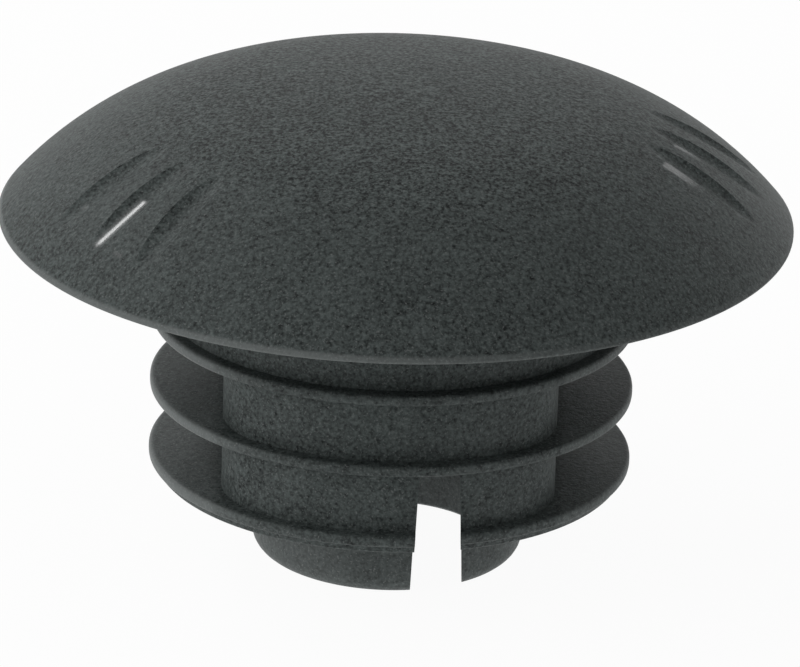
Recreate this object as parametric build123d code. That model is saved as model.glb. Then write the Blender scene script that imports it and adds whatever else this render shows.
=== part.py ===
from build123d import *
import os
from math import acos, atan2, cos, degrees, hypot, sin, sqrt

# Push-in hole plug, moulded in one piece from a matte black plastic.
# Millimetres, +Z up. The origin is on the plug's axis, in the plane of the flat rim under
# the head, which lands on the panel. The dome is above it, and the ribbed stem hangs below.

# The hole that the plug closes
hole_diameter = 25.0
stem_clearance = 0.1  # radial gap between the stem's round faces and the hole
rib_bite = 0.65  # how far each free rib stands out past the hole's wall

# Head: a low crown that turns down through a tighter shoulder to a thin upright rim
head_diameter = 43.0
dome_rise = 7.6  # rim plane to the top of the crown
crown_radius = 62.0
shoulder_radius = 19.5
rim_height = 0.15
rim_rounding = 0.1
head_wall = 2.2  # thickness of the dome over the hollows inside it

# Stem: a round neck, then a core with a flat on each side, which lets the ribs fold there
flat_width = 18.0  # across the two flats
flat_corner_radius = 4.9
stem_end = 14.3  # rim plane to the underside of the stem

# Ribs: full rings round the stem, thick at the root and thin at the edge
rib_count = 3
first_rib = 5.45  # rim plane to the middle of the top rib
rib_pitch = 4.05
rib_root = 1.0
rib_edge = 0.6
rib_rounding = 0.2
lead_in = 0.35  # how far the stem's end tapers in under the last rib

# Foot: the thin tube that enters the hole first, open at its end
foot_diameter = 14.8
foot_wall = 1.7
foot_end = 19.1  # rim plane to the end of the foot
foot_rounding = 1.0

# Slot: one cut through the front of the foot and of the stem's last stage, drafted so
# that the mould's tongue draws out of it downwards
slot_top_width = 2.15
slot_end_width = 2.8
slot_offset = 2.75  # middle of the slot, to the right of the axis

# Finger grips: two groups of shallow scallops, side by side on the dome's shoulder
grip_count = 3
grip_spacing = 11.0  # degrees from one scallop to the next
left_grips = -144.0  # bearing of the middle scallop of each group
right_grips = -2.5
grip_middle = 16.8  # axis to the middle of a scallop
grip_length = 7.2
grip_width = 1.8
grip_depth = 0.3

head_radius = head_diameter / 2
stem_radius = hole_diameter / 2 - stem_clearance
rib_radius = hole_diameter / 2 + rib_bite
foot_radius = foot_diameter / 2
bore_radius = foot_radius - foot_wall
margin = 1.0  # how far a cutting shape runs on past the surface that it opens

# The shoulder's arc touches the crown's arc and ends at the top of the rim. Both centres
# follow from that: the crown's is on the axis, and the shoulder's beside it.
crown_centre = dome_rise - crown_radius
radii_gap = crown_radius - shoulder_radius
reach = hypot(head_radius, rim_height - crown_centre)
lean = atan2(head_radius, rim_height - crown_centre)
blend = lean - acos((radii_gap**2 + reach**2 - shoulder_radius**2) / (2 * radii_gap * reach))
shoulder_x = radii_gap * sin(blend)
shoulder_z = crown_centre + radii_gap * cos(blend)


def dome_height(radius, inset=0.0):
    """Height of the dome at a radius, or of the surface that lies inset under it."""
    if radius < (crown_radius - inset) * sin(blend):
        return crown_centre + sqrt((crown_radius - inset) ** 2 - radius**2)
    return shoulder_z + sqrt((shoulder_radius - inset) ** 2 - (radius - shoulder_x) ** 2)


def dome_slope(radius):
    """Angle, in degrees, at which the dome falls away outwards on its shoulder."""
    return degrees(atan2(radius - shoulder_x, dome_height(radius) - shoulder_z))


def dome_curve(end_radius, inset=0.0):
    """The crown's and the shoulder's arcs, from the axis out to a radius."""
    turn = (crown_radius - inset) * sin(blend)

    def arc(start, end):
        stops = (start, (start + end) / 2, end)
        return ThreePointArc(*[(r, dome_height(r, inset)) for r in stops])

    return arc(0, turn) + arc(turn, end_radius)


def turned(outline):
    """The solid that an outline of radius and height makes, turned about the axis."""
    return revolve(make_face(Plane.YZ * outline), Axis.Z)


def dome():
    """The head as a full solid, with its rim rounded off underneath."""
    corners = Polyline((head_radius, rim_height), (head_radius, 0), (0, 0), (0, dome_rise))
    solid = turned(dome_curve(head_radius) + corners)
    rim_edge = solid.edges().filter_by(GeomType.CIRCLE).sort_by(Axis.Z)[0]
    return fillet(rim_edge, rim_rounding)


def hollow():
    """The space under the dome's wall, run down past the rim plane."""
    wall_reach = sqrt((shoulder_radius - head_wall) ** 2 - shoulder_z**2)
    end_radius = shoulder_x + wall_reach
    ceiling = dome_height(0, head_wall)
    end_height = dome_height(end_radius, head_wall)
    side = Polyline(
        (end_radius, end_height), (end_radius, -margin), (0, -margin), (0, ceiling)
    )
    return turned(dome_curve(end_radius, head_wall) + side)


def rib_height(index):
    return -(first_rib + index * rib_pitch)


def rib(index):
    """One ring, tapered from the flats out to a narrow edge."""
    middle = rib_height(index)
    root = flat_width / 2
    outline = Polyline(
        (0, middle + rib_root / 2),
        (root, middle + rib_root / 2),
        (rib_radius, middle + rib_edge / 2),
        (rib_radius, middle - rib_edge / 2),
        (root, middle - rib_root / 2),
        (0, middle - rib_root / 2),
        close=True,
    )
    ring = turned(outline)
    edges = ring.edges().filter_by(GeomType.CIRCLE).sort_by(SortBy.RADIUS)[-2:]
    return fillet(edges, rib_rounding)


def stem_tip():
    """The stem's round end, tapered in from the last rib's edge."""
    start = rib_height(rib_count - 1)
    outline = Polyline(
        (0, start),
        (rib_radius - rib_rounding, start),
        (rib_radius - rib_rounding, start - rib_edge / 2),
        (rib_radius - lead_in, -stem_end),
        (0, -stem_end),
        close=True,
    )
    return turned(outline)


def stem():
    """Neck, flat-sided core, ribs, tapered end and foot, all still solid."""
    neck = extrude(Circle(stem_radius), -first_rib)
    section = Circle(stem_radius) & Rectangle(flat_width, 2 * stem_radius)
    section = fillet(section.vertices(), flat_corner_radius)
    core = Pos(0, 0, -first_rib) * extrude(section, first_rib - stem_end)
    foot = Pos(0, 0, -stem_end) * extrude(Circle(foot_radius), stem_end - foot_end)
    foot = fillet(foot.edges().sort_by(Axis.Z)[0], foot_rounding)
    return neck + core + [rib(i) for i in range(rib_count)] + stem_tip() + foot


def slot():
    """The cut through the front wall, up to the underside of the last rib but one."""
    top = rib_height(rib_count - 2) - rib_edge / 2
    flare = (slot_end_width - slot_top_width) / (top + foot_end)
    half_top = slot_top_width / 2
    half_low = (slot_end_width + flare * margin) / 2
    outline = Polyline(
        (slot_offset - half_top, top),
        (slot_offset + half_top, top),
        (slot_offset + half_low, -foot_end - margin),
        (slot_offset - half_low, -foot_end - margin),
        close=True,
    )
    return extrude(make_face(Plane.XZ * outline), rib_radius + margin)


def grip_cutter():
    """A barrel that lies along X. It sinks to the scallop's depth at its middle."""
    middle_radius = (grip_width**2 / 4 + grip_depth**2) / (2 * grip_depth)
    bulge = grip_length**2 / 8 / shoulder_radius  # dome's own rise over the scallop's chord
    waist = grip_depth - bulge  # the barrel's rise over the same chord
    half = grip_length / 2 + margin
    end_radius = middle_radius - waist * (half / (grip_length / 2)) ** 2
    profile = ThreePointArc((-half, end_radius), (0, middle_radius), (half, end_radius))
    profile += Polyline((half, end_radius), (half, 0), (-half, 0), (-half, end_radius))
    barrel = revolve(make_face(profile), Axis.X)
    return Pos(0, 0, middle_radius - grip_depth) * barrel


def grips():
    """Both groups of cutters, set along the dome's fall at their bearings."""
    seat = Pos(grip_middle, 0, dome_height(grip_middle)) * Rot(Y=dome_slope(grip_middle))
    cutter = seat * grip_cutter()
    first = -(grip_count - 1) / 2
    bearings = [
        group + (first + i) * grip_spacing
        for group in (left_grips, right_grips)
        for i in range(grip_count)
    ]
    return [Rot(Z=bearing) * cutter for bearing in bearings]


def bore():
    """The hollow up the middle of the foot and stem, closed by the dome's wall."""
    pipe = Pos(0, 0, -foot_end) * extrude(Circle(bore_radius), foot_end)
    return pipe + (hollow() & extrude(Circle(bore_radius), dome_rise))


def plug_body():
    """The whole plug as one solid."""
    recess = hollow() - extrude(Circle(stem_radius), 2 * dome_rise, both=True)
    body = dome() + stem() - recess - bore() - slot()
    return body - grips()


os.makedirs("parts", exist_ok=True)
export_step(plug_body(), "parts/plug_body.step")
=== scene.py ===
from math import acos, asin, atan, atan2, cos, hypot, radians, sin, sqrt, tan, tau
import bpy
from mathutils import Matrix, Vector


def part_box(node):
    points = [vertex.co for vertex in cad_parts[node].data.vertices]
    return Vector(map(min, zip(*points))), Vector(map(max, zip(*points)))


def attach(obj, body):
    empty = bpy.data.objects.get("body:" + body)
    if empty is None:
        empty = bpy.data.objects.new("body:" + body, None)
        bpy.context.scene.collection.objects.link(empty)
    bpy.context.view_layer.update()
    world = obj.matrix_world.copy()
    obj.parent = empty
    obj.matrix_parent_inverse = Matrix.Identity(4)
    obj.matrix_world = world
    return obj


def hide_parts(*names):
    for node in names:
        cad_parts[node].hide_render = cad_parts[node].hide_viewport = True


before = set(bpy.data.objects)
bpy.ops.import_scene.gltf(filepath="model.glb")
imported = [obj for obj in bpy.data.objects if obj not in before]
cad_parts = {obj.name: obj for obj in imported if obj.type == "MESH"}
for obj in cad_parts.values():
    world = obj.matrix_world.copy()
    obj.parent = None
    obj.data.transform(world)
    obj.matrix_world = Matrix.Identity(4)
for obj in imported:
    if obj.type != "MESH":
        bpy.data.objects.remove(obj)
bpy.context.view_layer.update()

# ---------------------------------------------------------------------------
# Head: a low dome of black plastic, hollow underneath, that covers the hole's edge.
# It is moulded in one shot with the stem, and its flat rim lands on the panel.
# ---------------------------------------------------------------------------

mm = 0.001
weld = 0.5e-6  # points closer than this are merged
box_clearance = 0.001 * mm  # keeps the rim's facets inside the CAD model's box
head_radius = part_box("plug_body")[1].x - box_clearance
dome_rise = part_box("plug_body")[1].z
foot_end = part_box("plug_body")[0].z
crown_radius = 62.0 * mm
shoulder_radius = 19.5 * mm
rim_height = 0.15 * mm
rim_rounding = 0.1 * mm
head_wall = 2.2 * mm
lip_rounding = 0.12 * mm
neck_radius = 12.4 * mm
neck_rounding = 0.5 * mm
first_rib = -5.45 * mm
straight_up = Vector((0, 0, 1))


class Pen:
    """Draws an outline in edit mode, edge by edge, then spins or extrudes it to a solid.
    Points are (x, z) pairs in the upright plane, or (x, y) pairs in a level one."""

    def __init__(self, name, start, level=None):
        bpy.ops.object.select_all(action="DESELECT")
        bpy.ops.mesh.primitive_plane_add(size=mm)
        self.piece = bpy.context.object
        self.piece.name = name
        self.level = level
        self.normal = Vector((0, 1, 0)) if level is None else straight_up
        self.place = self.point(start)
        bpy.ops.object.mode_set(mode="EDIT")
        bpy.ops.mesh.merge(type="CENTER")
        bpy.ops.transform.translate(value=self.place)

    def point(self, pair):
        a, b = pair
        return Vector((a, 0, b)) if self.level is None else Vector((a, b, self.level))

    def line(self, *pair, steps=1):
        """Straight on to a new point."""
        move = (self.point(pair) - self.place) / steps
        for _ in range(steps):
            bpy.ops.mesh.extrude_region_move(TRANSFORM_OT_translate={"value": move})
        self.place = self.point(pair)

    def arc(self, centre, turn, steps):
        """Round a centre. A positive turn is clockwise upright, and the other way level."""
        centre = self.point(centre)
        bpy.ops.mesh.spin(steps=steps, angle=-turn, center=centre, axis=self.normal)
        turned = Matrix.Rotation(turn, 3, self.normal) @ (self.place - centre)
        self.place = centre + turned

    def spun(self, axis=straight_up, steps=192):
        """The solid of revolution of an outline that starts and ends on the axis."""
        bpy.ops.mesh.select_all(action="SELECT")
        bpy.ops.mesh.spin(steps=steps, angle=tau, center=(0, 0, 0), axis=axis)
        return self.closed()

    def extruded(self, move):
        """The prism on a closed outline."""
        bpy.ops.mesh.select_all(action="SELECT")
        bpy.ops.mesh.remove_doubles(threshold=weld)
        bpy.ops.mesh.edge_face_add()
        bpy.ops.mesh.extrude_region_move(TRANSFORM_OT_translate={"value": move})
        return self.closed()

    def closed(self):
        bpy.ops.mesh.select_all(action="SELECT")
        bpy.ops.mesh.remove_doubles(threshold=weld)
        bpy.ops.mesh.normals_make_consistent(inside=False)
        bpy.ops.object.mode_set(mode="OBJECT")
        return self.piece


def bearing(centre, end):
    """The angle, clockwise from straight up, of the line between two points."""
    return atan2(end[0] - centre[0], end[1] - centre[1])


# The crown's arc and the shoulder's arc touch, so one centre follows from the other.
crown = (0, dome_rise - crown_radius)
radii_gap = crown_radius - shoulder_radius
rim_top = (head_radius, rim_height)
reach = hypot(head_radius, rim_height - crown[1])
bend = acos((radii_gap**2 + reach**2 - shoulder_radius**2) / (2 * radii_gap * reach))
blend = bearing(crown, rim_top) - bend
shoulder = (radii_gap * sin(blend), crown[1] + radii_gap * cos(blend))

# The hollow's ceiling lies inside the shoulder's arc by the head's wall.
ceiling_radius = shoulder_radius - head_wall
lip = acos(-shoulder[1] / ceiling_radius)
lip_x = shoulder[0] + ceiling_radius * sin(lip)
lip_start = lip - lip_rounding / ceiling_radius
lip_point = [c + ceiling_radius * f(lip_start) for c, f in zip(shoulder, (sin, cos))]
root_x = neck_radius + neck_rounding
root_reach = ceiling_radius - neck_rounding
root = (root_x, shoulder[1] + sqrt(root_reach**2 - (root_x - shoulder[0]) ** 2))
root_angle = bearing(shoulder, root)

pen = Pen("plug", (0, dome_rise))
pen.arc(crown, blend, steps=24)
pen.arc(shoulder, bearing(shoulder, rim_top) - blend, steps=44)
pen.line(head_radius, rim_rounding)
pen.arc((head_radius - rim_rounding, rim_rounding), tau / 4, steps=4)
pen.line(lip_x + lip_rounding, 0, steps=4)
pen.line(*lip_point)
pen.arc(shoulder, root_angle - lip_start, steps=18)
pen.arc(root, -root_angle - tau / 4, steps=6)
pen.line(neck_radius, first_rib, steps=5)
pen.line(0, first_rib)
plug = pen.spun()

# ---------------------------------------------------------------------------
# Core: the stem between the ribs, round in front and behind and flat on both sides,
# which lets the ribs fold there. It hangs from the neck, moulded with it.
# ---------------------------------------------------------------------------

half_width = 9.0 * mm
corner_radius = 4.9 * mm
rib_pitch = 4.05 * mm
last_rib = first_rib - 2 * rib_pitch
overlap = 0.15 * mm  # how far the core runs into the neck and the last rib


def unite(*tools):
    """Grows the plug by other solids."""
    join_solids(tools, "UNION")


def carve(*tools):
    """Cuts other solids out of the plug."""
    join_solids(tools, "DIFFERENCE")


def join_solids(tools, operation):
    tool = tools[0]
    bpy.ops.object.select_all(action="DESELECT")
    bpy.context.view_layer.objects.active = tool
    for part in tools:
        part.select_set(True)
    if len(tools) > 1:
        bpy.ops.object.join()
    step = plug.modifiers.new(tool.name, "BOOLEAN")
    step.operation = operation
    step.solver = "EXACT"
    step.object = tool
    bpy.ops.object.select_all(action="DESELECT")
    bpy.context.view_layer.objects.active = plug
    plug.select_set(True)
    bpy.ops.object.modifier_apply(modifier=step.name)
    bpy.data.objects.remove(tool)


corner_x = half_width - corner_radius
corner_y = sqrt((neck_radius - corner_radius) ** 2 - corner_x**2)
corner_turn = atan2(corner_y, corner_x)
front_turn = tau / 2 - 2 * corner_turn

pen = Pen("core", (half_width, -corner_y), level=first_rib + overlap)
pen.line(half_width, corner_y)
pen.arc((corner_x, corner_y), corner_turn, steps=10)
pen.arc((0, 0), front_turn, steps=36)
pen.arc((-corner_x, corner_y), corner_turn, steps=10)
pen.line(-half_width, -corner_y)
pen.arc((-corner_x, -corner_y), corner_turn, steps=10)
pen.arc((0, 0), front_turn, steps=36)
pen.arc((corner_x, -corner_y), corner_turn, steps=10)
unite(pen.extruded((0, 0, last_rib - first_rib - 2 * overlap)))

# ---------------------------------------------------------------------------
# Ribs: three full rings, thick at the root and thin at the edge. They bend as the plug
# is pushed in, and grip the wall of the hole.
# ---------------------------------------------------------------------------

rib_radius = 13.15 * mm
rib_root = 1.0 * mm
rib_edge = 0.6 * mm
rib_rounding = 0.2 * mm

taper = atan((rib_root - rib_edge) / 2 / (rib_radius - half_width))
edge_x = rib_radius - rib_rounding
edge_z = rib_edge / 2 + rib_rounding * tan(taper) - rib_rounding / cos(taper)
touch = (edge_x + rib_rounding * sin(taper), edge_z + rib_rounding * cos(taper))

ribs = []
for height in (first_rib, first_rib - rib_pitch, last_rib):
    pen = Pen("rib", (0, height + rib_root / 2))
    pen.line(half_width, height + rib_root / 2)
    pen.line(touch[0], height + touch[1])
    pen.arc((edge_x, height + edge_z), tau / 4 - taper, steps=4)
    pen.line(rib_radius, height - edge_z)
    pen.arc((edge_x, height - edge_z), tau / 4 - taper, steps=4)
    pen.line(half_width, height - rib_root / 2)
    pen.line(0, height - rib_root / 2)
    ribs.append(pen.spun())
unite(*ribs)

# ---------------------------------------------------------------------------
# Foot: the stem's tapered end and the tube below it, which goes into the hole first.
# It is open at its end, where the mould's core draws out.
# ---------------------------------------------------------------------------

stem_end = -14.3 * mm
lead_in = 0.35 * mm
sunk = 0.03 * mm  # how far the taper starts inside the last rib, clear of its rounding
foot_radius = 7.4 * mm
foot_rounding = 1.0 * mm
foot_root = 0.3 * mm

pen = Pen("foot", (0, last_rib))
pen.line(edge_x - sunk, last_rib - rib_edge / 4)
pen.line(rib_radius - lead_in, stem_end + rib_rounding)
pen.arc((rib_radius - lead_in - rib_rounding, stem_end + rib_rounding), tau / 4, steps=3)
pen.line(foot_radius + foot_root, stem_end, steps=3)
pen.arc((foot_radius + foot_root, stem_end - foot_root), -tau / 4, steps=4)
pen.line(foot_radius, foot_end + foot_rounding, steps=3)
pen.arc((foot_radius - foot_rounding, foot_end + foot_rounding), tau / 4, steps=8)
pen.line(0, foot_end)
unite(pen.spun())

# ---------------------------------------------------------------------------
# Bore and slot: the stem is hollow right up to the dome's wall, and one drafted slot
# opens the front of the foot and of the last stage, so that the end can close up.
# ---------------------------------------------------------------------------

bore_radius = 5.7 * mm
bore_rounding = 0.6 * mm
mouth = 0.15 * mm  # bevel round the bore's open end
slot_middle = 2.75 * mm
slot_top_width = 2.15 * mm
slot_end_width = 2.8 * mm
past = 1.0 * mm  # how far a cutting shape runs on past the surface that it opens

bore_ceiling = crown_radius - head_wall
corner_reach = bore_ceiling - bore_rounding
bore_turn = asin((bore_radius - bore_rounding) / corner_reach)
corner = [c + corner_reach * f(bore_turn) for c, f in zip(crown, (sin, cos))]

pen = Pen("bore", (0, dome_rise - head_wall))
pen.arc(crown, bore_turn, steps=6)
pen.arc(corner, tau / 4 - bore_turn, steps=6)
pen.line(bore_radius, foot_end + mouth, steps=8)
pen.line(bore_radius + mouth, foot_end)
pen.line(bore_radius + mouth, foot_end - past)
pen.line(0, foot_end - past)
carve(pen.spun(steps=128))

slot_top = first_rib - rib_pitch - rib_edge / 2
flare = (slot_end_width - slot_top_width) / (slot_top - foot_end)
half_top = slot_top_width / 2
half_low = (slot_end_width + flare * past) / 2

pen = Pen("slot", (slot_middle - half_top, slot_top))
pen.line(slot_middle + half_top, slot_top)
pen.line(slot_middle + half_low, foot_end - past)
pen.line(slot_middle - half_low, foot_end - past)
pen.line(slot_middle - half_top, slot_top)
carve(pen.extruded((0, -rib_radius - past, 0)))

# ---------------------------------------------------------------------------
# Finger grips: two groups of three shallow scallops on the dome's shoulder, each
# sunk by a barrel-shaped bump in the mould.
# ---------------------------------------------------------------------------

grip_spacing = radians(11.0)
grip_groups = (radians(-144.0), radians(-2.5))
grip_middle = 16.8 * mm
grip_length = 7.2 * mm
grip_width = 1.8 * mm
grip_depth = 0.3 * mm

barrel_radius = (grip_width**2 / 4 + grip_depth**2) / (2 * grip_depth)
bulge = grip_length**2 / 8 / shoulder_radius
half = grip_length / 2 + past
end_radius = barrel_radius - (grip_depth - bulge) * (half / (grip_length / 2)) ** 2
drop = barrel_radius - end_radius
side_radius = (half**2 + drop**2) / (2 * drop)
slope = asin((grip_middle - shoulder[0]) / shoulder_radius)
seat = (grip_middle, 0, shoulder[1] + shoulder_radius * cos(slope))

barrels = []
for group in grip_groups:
    for side in (-1, 0, 1):
        pen = Pen("grip", (-half, 0))
        pen.line(-half, end_radius)
        pen.arc((0, barrel_radius - side_radius), 2 * asin(half / side_radius), steps=36)
        pen.line(half, 0)
        barrel = pen.spun(axis=Vector((1, 0, 0)), steps=96)
        barrel.matrix_world = (
            Matrix.Rotation(group + side * grip_spacing, 4, "Z")
            @ Matrix.Translation(seat)
            @ Matrix.Rotation(slope, 4, "Y")
            @ Matrix.Translation((0, 0, barrel_radius - grip_depth))
        )
        barrels.append(barrel)
bpy.context.view_layer.update()
carve(*barrels)

# Edges that turn by more than this stay crisp.
crease = radians(28)

bpy.ops.object.mode_set(mode="EDIT")
bpy.ops.mesh.select_all(action="SELECT")
bpy.ops.mesh.remove_doubles(threshold=weld)
bpy.ops.mesh.normals_make_consistent(inside=False)
bpy.ops.object.mode_set(mode="OBJECT")
bpy.ops.object.shade_smooth_by_angle(angle=crease)

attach(plug, "root")
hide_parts("plug_body")

# ---------------------------------------------------------------------------
# Finish of the whole plug: matte charcoal plastic with the fine grain of an eroded mould,
# painted light and shade on edges, rib sides, foot and crown, and polished in some of the
# grips.
# ---------------------------------------------------------------------------


class Wire:
    """A shader socket. Sums, differences and products of wires add their own Math nodes."""

    def __init__(self, tree, socket=None):
        self.tree, self.socket = tree, socket

    def node(self, kind, inputs=(), output=0, **settings):
        """Any node: its type, the values or wires of its sockets, then its settings."""
        made = self.tree.nodes.new(kind)
        for name, value in settings.items():
            setattr(made, name, value)
        for name, value in dict(inputs).items():
            if isinstance(value, Wire):
                self.tree.links.new(value.socket, made.inputs[name])
            else:
                made.inputs[name].default_value = value
        return Wire(self.tree, made.outputs[output] if made.outputs else None)

    def math(self, operation, *values):
        return self.node("ShaderNodeMath", dict(enumerate(values)), operation=operation)

    def __add__(self, other):
        return self.math("ADD", self, other)

    def __sub__(self, other):
        return self.math("SUBTRACT", self, other)

    def __rsub__(self, other):
        return self.math("SUBTRACT", other, self)

    def __mul__(self, other):
        return self.math("MULTIPLY", self, other)

    def __abs__(self):
        return self.math("ABSOLUTE", self)

    __radd__ = __add__
    __rmul__ = __mul__

    def ramp(self, low, high):
        """0 where this is at low or below, 1 at high or above, smooth between."""
        inputs = {"Value": self, "From Min": low, "From Max": high}
        return self.node("ShaderNodeMapRange", inputs, interpolation_type="SMOOTHSTEP")

    def noise(self, scale, detail, roughness=0.5):
        """Noise on this wire's coordinates, at so many lumps to the metre."""
        inputs = {"Vector": self, "Scale": scale, "Detail": detail, "Roughness": roughness}
        return self.node("ShaderNodeTexNoise", inputs)

    def mix(self, low, high):
        """One colour where this is 0, another where it is 1."""
        return self.node("ShaderNodeMix", {0: self, 6: low, 7: high}, 2, data_type="RGBA")


def new_tree(owner):
    """The emptied node tree of a material or a world."""
    owner.use_nodes = True
    owner.node_tree.nodes.clear()
    return Wire(owner.node_tree)


plastic = bpy.data.materials.new("black_plastic")
tree = new_tree(plastic)
place = tree.node("ShaderNodeTexCoord", output="Object")
x = tree.node("ShaderNodeSeparateXYZ", {"Vector": place}, output="X")
y = tree.node("ShaderNodeSeparateXYZ", {"Vector": place}, output="Y")
z = tree.node("ShaderNodeSeparateXYZ", {"Vector": place}, output="Z")
radius = tree.math("SQRT", x * x + y * y)
heading = tree.math("ARCTAN2", y, x)

# Handling has polished a streak in some of the grips. Each streak is a bearing, the radii
# where it starts and ends, how much of its length it takes to fade out, and its strength.
streaks = [
    (radians(-144.2), 16.3 * mm, 19.6 * mm, 0.5 * mm, 1.0),
    (radians(-154.0), 18.0 * mm, 18.6 * mm, 0.4 * mm, 0.35),
    (radians(-138.6), 19.2 * mm, 19.6 * mm, 0.3 * mm, 0.5),
    (radians(-5.5), 14.8 * mm, 16.6 * mm, 1.3 * mm, 0.5),
    (radians(-17.6), 14.8 * mm, 17.4 * mm, 2.0 * mm, 0.8),
]
polished = 0
for turn, start, end, fade, strength in streaks:
    across = abs(heading - turn) * radius
    along = radius.ramp(start, start + 0.2 * mm) * (1 - radius.ramp(end - fade, end))
    streak = (1 - across.ramp(0.2 * mm, 0.5 * mm)) * along
    polished = polished + streak * strength
polished = polished * z.ramp(0, 1.0 * mm)

# Painted light: painted highlights along the ribs' edges and the head's rim, painted light on
# the ribs' sides, and painted bounce light on the foot, all paler, and more so on the left.
rib_edge_highlight = radius.ramp(rib_radius - 0.35 * mm, rib_radius - 0.1 * mm)
rib_edge_highlight = rib_edge_highlight * (1 - z.ramp(-2.0 * mm, -1.0 * mm))
rib_edge_highlight = rib_edge_highlight * (1.1 - x.ramp(-11.0 * mm, -6.0 * mm))
rim = radius.ramp(head_radius - 0.25 * mm, head_radius - 0.08 * mm)
rim = rim * (1.4 - x.ramp(-6.0 * mm, 14.0 * mm))
rib_side_light = abs(x).ramp(half_width, half_width + 0.6 * mm)
rib_side_light = rib_side_light * (1 - z.ramp(first_rib + 0.55 * mm, first_rib + 0.95 * mm)) * 0.4
# Painted bounce light from below makes the foot paler.
foot = 1 - z.ramp(stem_end - 0.3 * mm, stem_end + 0.1 * mm)
foot = foot * (0.7 - x.ramp(-7.0 * mm, 0) * 0.3)
painted_light = rib_edge_highlight + rim + rib_side_light + foot

# The grain stands out most on the crown, and the crown is a little darker: both are painted
# light and shade for how the light falls on the top.
mottle = place.noise(450, detail=4, roughness=0.6)
waves = place.noise(1600, detail=2)
grain = place.noise(3900, detail=2)
fine = place.noise(6800, detail=1)
# Glint specks: tiny painted glints, lighter in the colour and also small dents in the bump.
glint_specks = place.noise(9000, detail=1).ramp(0.58, 0.76)
on_crown = z.ramp(4.5 * mm, 7.2 * mm)
contrast = 0.8 + z.ramp(-2.0 * mm, 1.0 * mm) * 0.1 + on_crown * 0.7
# Painted shade darkens the crown's colour a little.
tone = 0.44 - on_crown * 0.05 + (mottle - 0.5) * 0.4
tone = tone + ((grain - 0.5) * 1.4 + (fine - 0.5)) * contrast
colour = tone.mix((0.0, 0.001, 0.001, 1), (0.082, 0.097, 0.094, 1))
# Painted light and painted glint specks are mixed in as a paler grey.
colour = (glint_specks * 0.6 + painted_light * 0.5).mix(colour, (0.12, 0.13, 0.128, 1))
relief = (grain * 0.8 + waves * 0.5 - glint_specks * 0.25) * (1 - polished * 0.8)
bump = tree.node("ShaderNodeBump", {"Height": relief, "Strength": 0.9, "Distance": 0.04 * mm})
shader = tree.node("ShaderNodeBsdfPrincipled", {
    "Base Color": colour,
    "Roughness": 0.55 + (mottle - 0.5) * 0.12 - polished * 0.32 - painted_light * 0.05,
    "Specular IOR Level": 0.12,
    "Coat Weight": polished * 0.7,
    "Coat Roughness": 0.2,
    "Normal": bump,
})
tree.node("ShaderNodeOutputMaterial", {"Surface": shader})
plug.data.materials.clear()
plug.data.materials.append(plastic)

# ---------------------------------------------------------------------------
# Stage: a white floor, open to light from below, in a white room. One small lamp high
# behind on the left makes the glints, wide ones fill in, and a long lens looks down a
# little from the front.
# ---------------------------------------------------------------------------

white = (1, 1, 1, 1)
paper_white = (0.86, 0.86, 0.86, 1)
shadow_share = 0.05  # how much of the floor's look is its own lit paper, with the shadow
room_light = 0.5  # the strength at which the white room lights the object


def sees_white(tree):
    """1 for rays from the camera, or on from metal or glass, and 0 for those that light."""
    camera_ray = tree.node("ShaderNodeLightPath", output="Is Camera Ray")
    glossy_ray = tree.node("ShaderNodeLightPath", output="Is Glossy Ray")
    glass_ray = tree.node("ShaderNodeLightPath", output="Is Transmission Ray")
    return tree.math("MAXIMUM", tree.math("MAXIMUM", camera_ray, glossy_ray), glass_ray)


bpy.ops.object.select_all(action="DESELECT")
bpy.ops.mesh.primitive_circle_add(
    vertices=64, radius=2, fill_type="NGON", location=(0, 0, foot_end)
)
floor = bpy.context.object
floor.name = "floor"
bpy.ops.object.transform_apply(location=True, rotation=True, scale=True)

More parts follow.
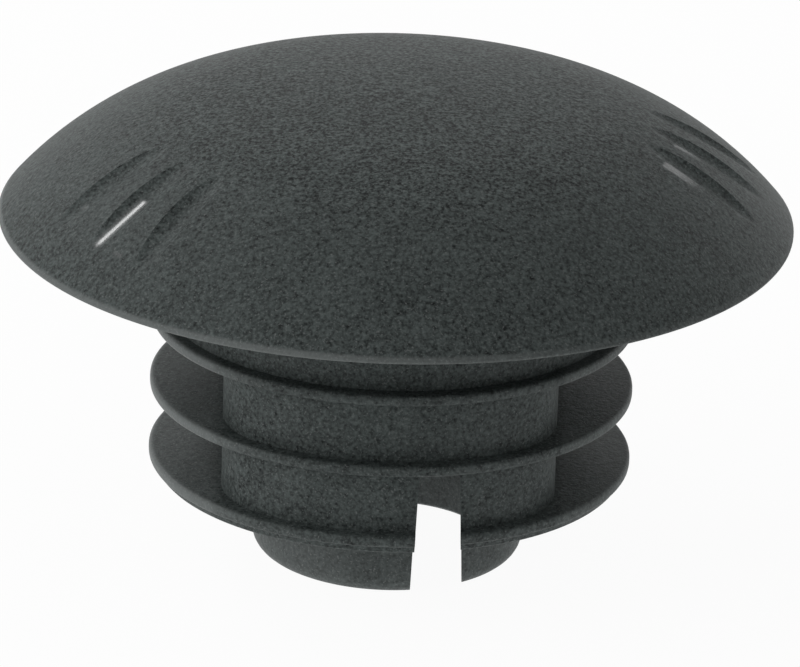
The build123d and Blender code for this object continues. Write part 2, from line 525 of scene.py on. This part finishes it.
paper = bpy.data.materials.new("white_paper")
tree = new_tree(paper)
shown = sees_white(tree)
under = tree.node("ShaderNodeNewGeometry", output="Backfacing")
lit = tree.node("ShaderNodeBsdfDiffuse", {"Color": paper_white})
glow = tree.node("ShaderNodeEmission", {"Color": white, "Strength": 1.0})
clear = tree.node("ShaderNodeBsdfTransparent", {"Color": white})
glowing = shown * (1 - shadow_share)
sheet = tree.node("ShaderNodeMixShader", {0: glowing, 1: lit, 2: glow})
sheet = tree.node("ShaderNodeMixShader", {0: shown * (1 - under), 1: clear, 2: sheet})
tree.node("ShaderNodeOutputMaterial", {"Surface": sheet})
floor.data.materials.append(paper)

world = bpy.data.worlds.new("white_room")
tree = new_tree(world)
strength = room_light + sees_white(tree) * (1 - room_light)
back = tree.node("ShaderNodeBackground", {"Color": white, "Strength": strength})
tree.node("ShaderNodeOutputWorld", {"Surface": back})
bpy.context.scene.world = world

# Each lamp is the way to it, how wide it is, and its power.
lamp_distance = 0.6
lamps = {
    "key": ((-0.577, 0.512, 0.636), 0.16, 0.75),
    "left": ((-0.88, -0.30, 0.42), 0.5, 2.0),
    "low_left": ((-0.72, -0.30, -0.62), 0.5, 1.7),
    "low_right": ((0.68, -0.30, -0.67), 0.5, 1.5),
    "right": ((0.72, 0.69, 0.05), 0.5, 0.45),
    "back": ((-0.30, 0.95, 0.10), 0.5, 0.2),
}
for name, (way, width, power) in lamps.items():
    lamp = bpy.data.lights.new(name, "AREA")
    lamp.size = width
    lamp.energy = power
    lamp_object = bpy.data.objects.new(name, lamp)
    bpy.context.scene.collection.objects.link(lamp_object)
    toward = Vector(way).normalized()
    lamp_object.location = toward * lamp_distance
    lamp_object.rotation_mode = "QUATERNION"
    lamp_object.rotation_quaternion = toward.to_track_quat("Z", "Y")

aim = Vector((0.40, -2.30, -5.83)) * mm
pitch = radians(21.51)
roll = radians(1.75)
camera_distance = 0.43
camera = bpy.data.cameras.new("camera")
camera.lens = 357.75
camera.sensor_width = 36
camera_object = bpy.data.objects.new("camera", camera)
bpy.context.scene.collection.objects.link(camera_object)
camera_object.matrix_world = (
    Matrix.Translation(aim)
    @ Matrix.Rotation(tau / 4 - pitch, 4, "X")
    @ Matrix.Rotation(roll, 4, "Z")
    @ Matrix.Translation((0, 0, camera_distance))
)
bpy.context.scene.camera = camera_object
bpy.context.scene.view_settings.view_transform = "Standard"
